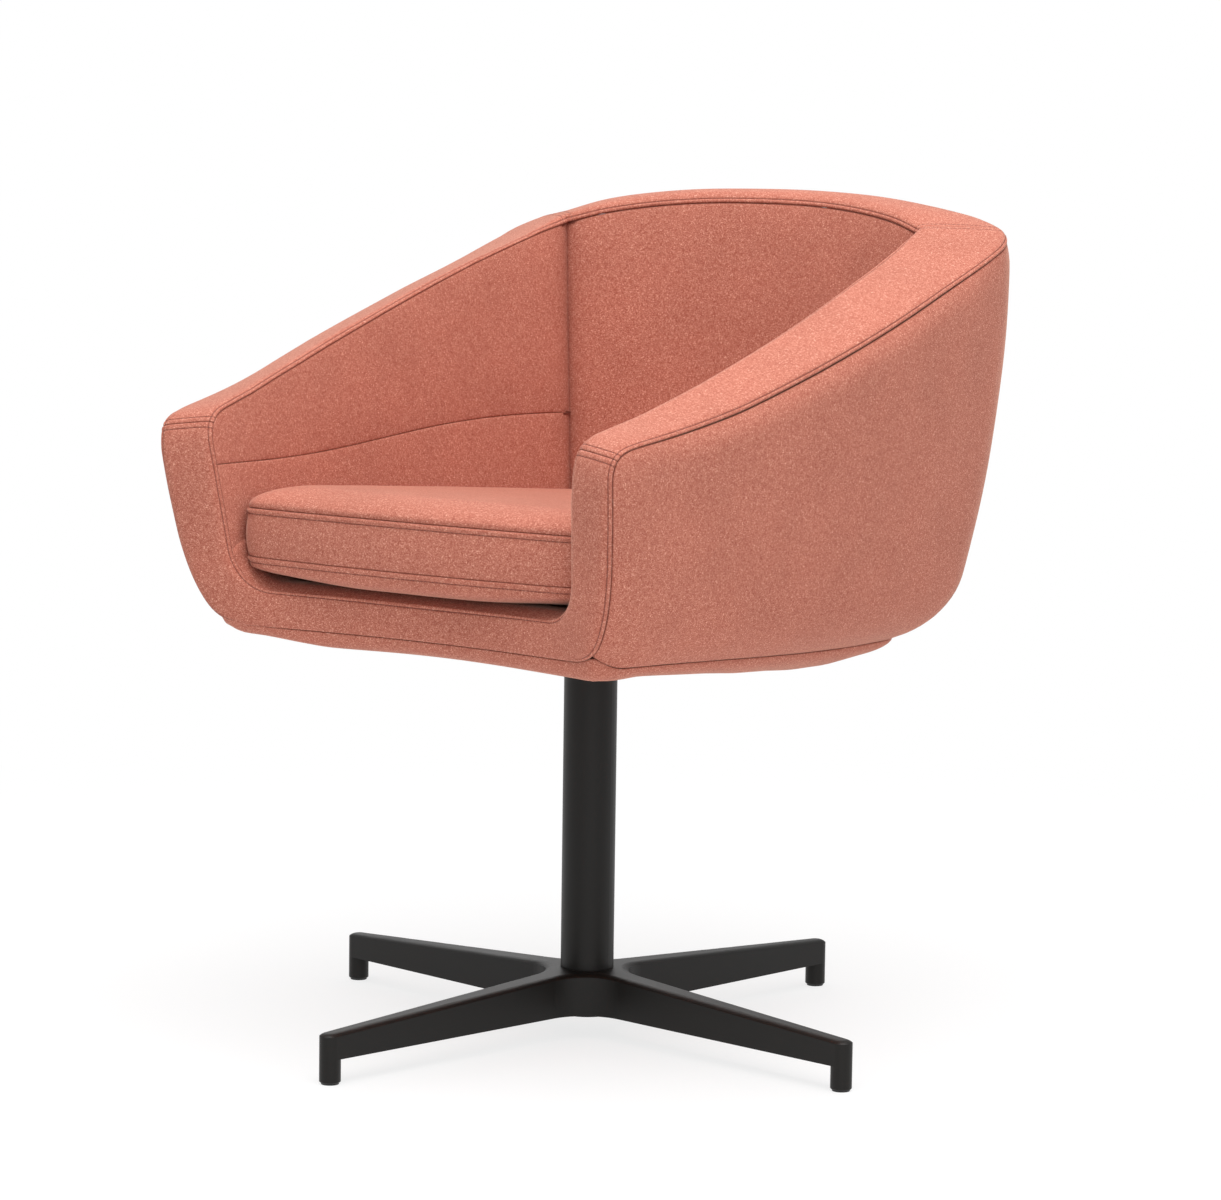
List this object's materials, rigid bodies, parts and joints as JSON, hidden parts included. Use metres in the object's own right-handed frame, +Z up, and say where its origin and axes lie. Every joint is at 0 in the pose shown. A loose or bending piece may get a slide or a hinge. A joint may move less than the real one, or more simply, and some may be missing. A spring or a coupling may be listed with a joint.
{
  "type": "swivel armchair",
  "caption": "Upholstered tub armchair with a scooped front and a loose box cushion, turning on a round column over a flat star base with post feet.",
  "frame": {"origin": "on the floor, on the axis of the column", "axes": "+Z up along the column, the seat faces -Y at rest, +X to the right of a viewer who looks at the seat from the front"},
  "size_m": [0.6572, 0.6572, 0.7877],
  "materials": {
    "powder_coat": "satin black powder coat",
    "glide_plastic": "black moulded plastic",
    "plain_steel": "zinc plated steel",
    "plywood": "bare birch plywood",
    "foam": "upholstery foam",
    "wool_felt": "salmon melange wool felt"
  },
  "bodies": {
    "base": {"base_star": "powder_coat", "glide_1": "powder_coat", "glide_2": "powder_coat", "glide_3": "powder_coat", "glide_4": "powder_coat", "glide_studs": "plain_steel", "glide_pads": "glide_plastic", "column_tube": "powder_coat", "column_plug": "plain_steel", "column_bolt": "plain_steel", "column_washer": "plain_steel", "lower_bush": "glide_plastic", "upper_bush": "glide_plastic", "thrust_race_lower": "plain_steel", "thrust_cage": "glide_plastic", "thrust_balls": "plain_steel"},
    "seat": {"thrust_race_upper": "plain_steel", "spindle": "plain_steel", "slip_washer": "glide_plastic", "swivel_plate": "plain_steel", "plate_bolts": "plain_steel", "tee_nuts": "plain_steel", "seat_board": "plywood", "panel_screws": "plain_steel", "arm_panel_left": "plywood", "arm_panel_right": "plywood", "back_panel": "plywood", "underseat_foam": "foam", "arm_foam_left": "foam", "arm_foam_right": "foam", "back_foam": "foam", "deck_pad": "foam", "outside_cover": "wool_felt", "underside_cover": "wool_felt", "front_border": "wool_felt", "arm_top_left": "wool_felt", "arm_top_right": "wool_felt", "back_top": "wool_felt", "arm_inside_upper_left": "wool_felt", "arm_inside_upper_right": "wool_felt", "arm_inside_lower_left": "wool_felt", "arm_inside_lower_right": "wool_felt", "back_inside": "wool_felt", "deck_cover": "wool_felt"},
    "cushion": {"cushion_core": "foam", "cushion_top": "wool_felt", "cushion_border": "wool_felt", "cushion_bottom": "wool_felt"}
  },
  "joints": [
    {"name": "swivel", "type": "hinge", "parent": "base", "child": "seat", "pos_m": [0, 0, 0.383], "axis": [0, 0, 1], "continuous": true},
    {"name": "cushion_lift", "type": "slide", "parent": "seat", "child": "cushion", "axis": [0, 0, 1], "range_m": [0, 0.12]}
  ]
}
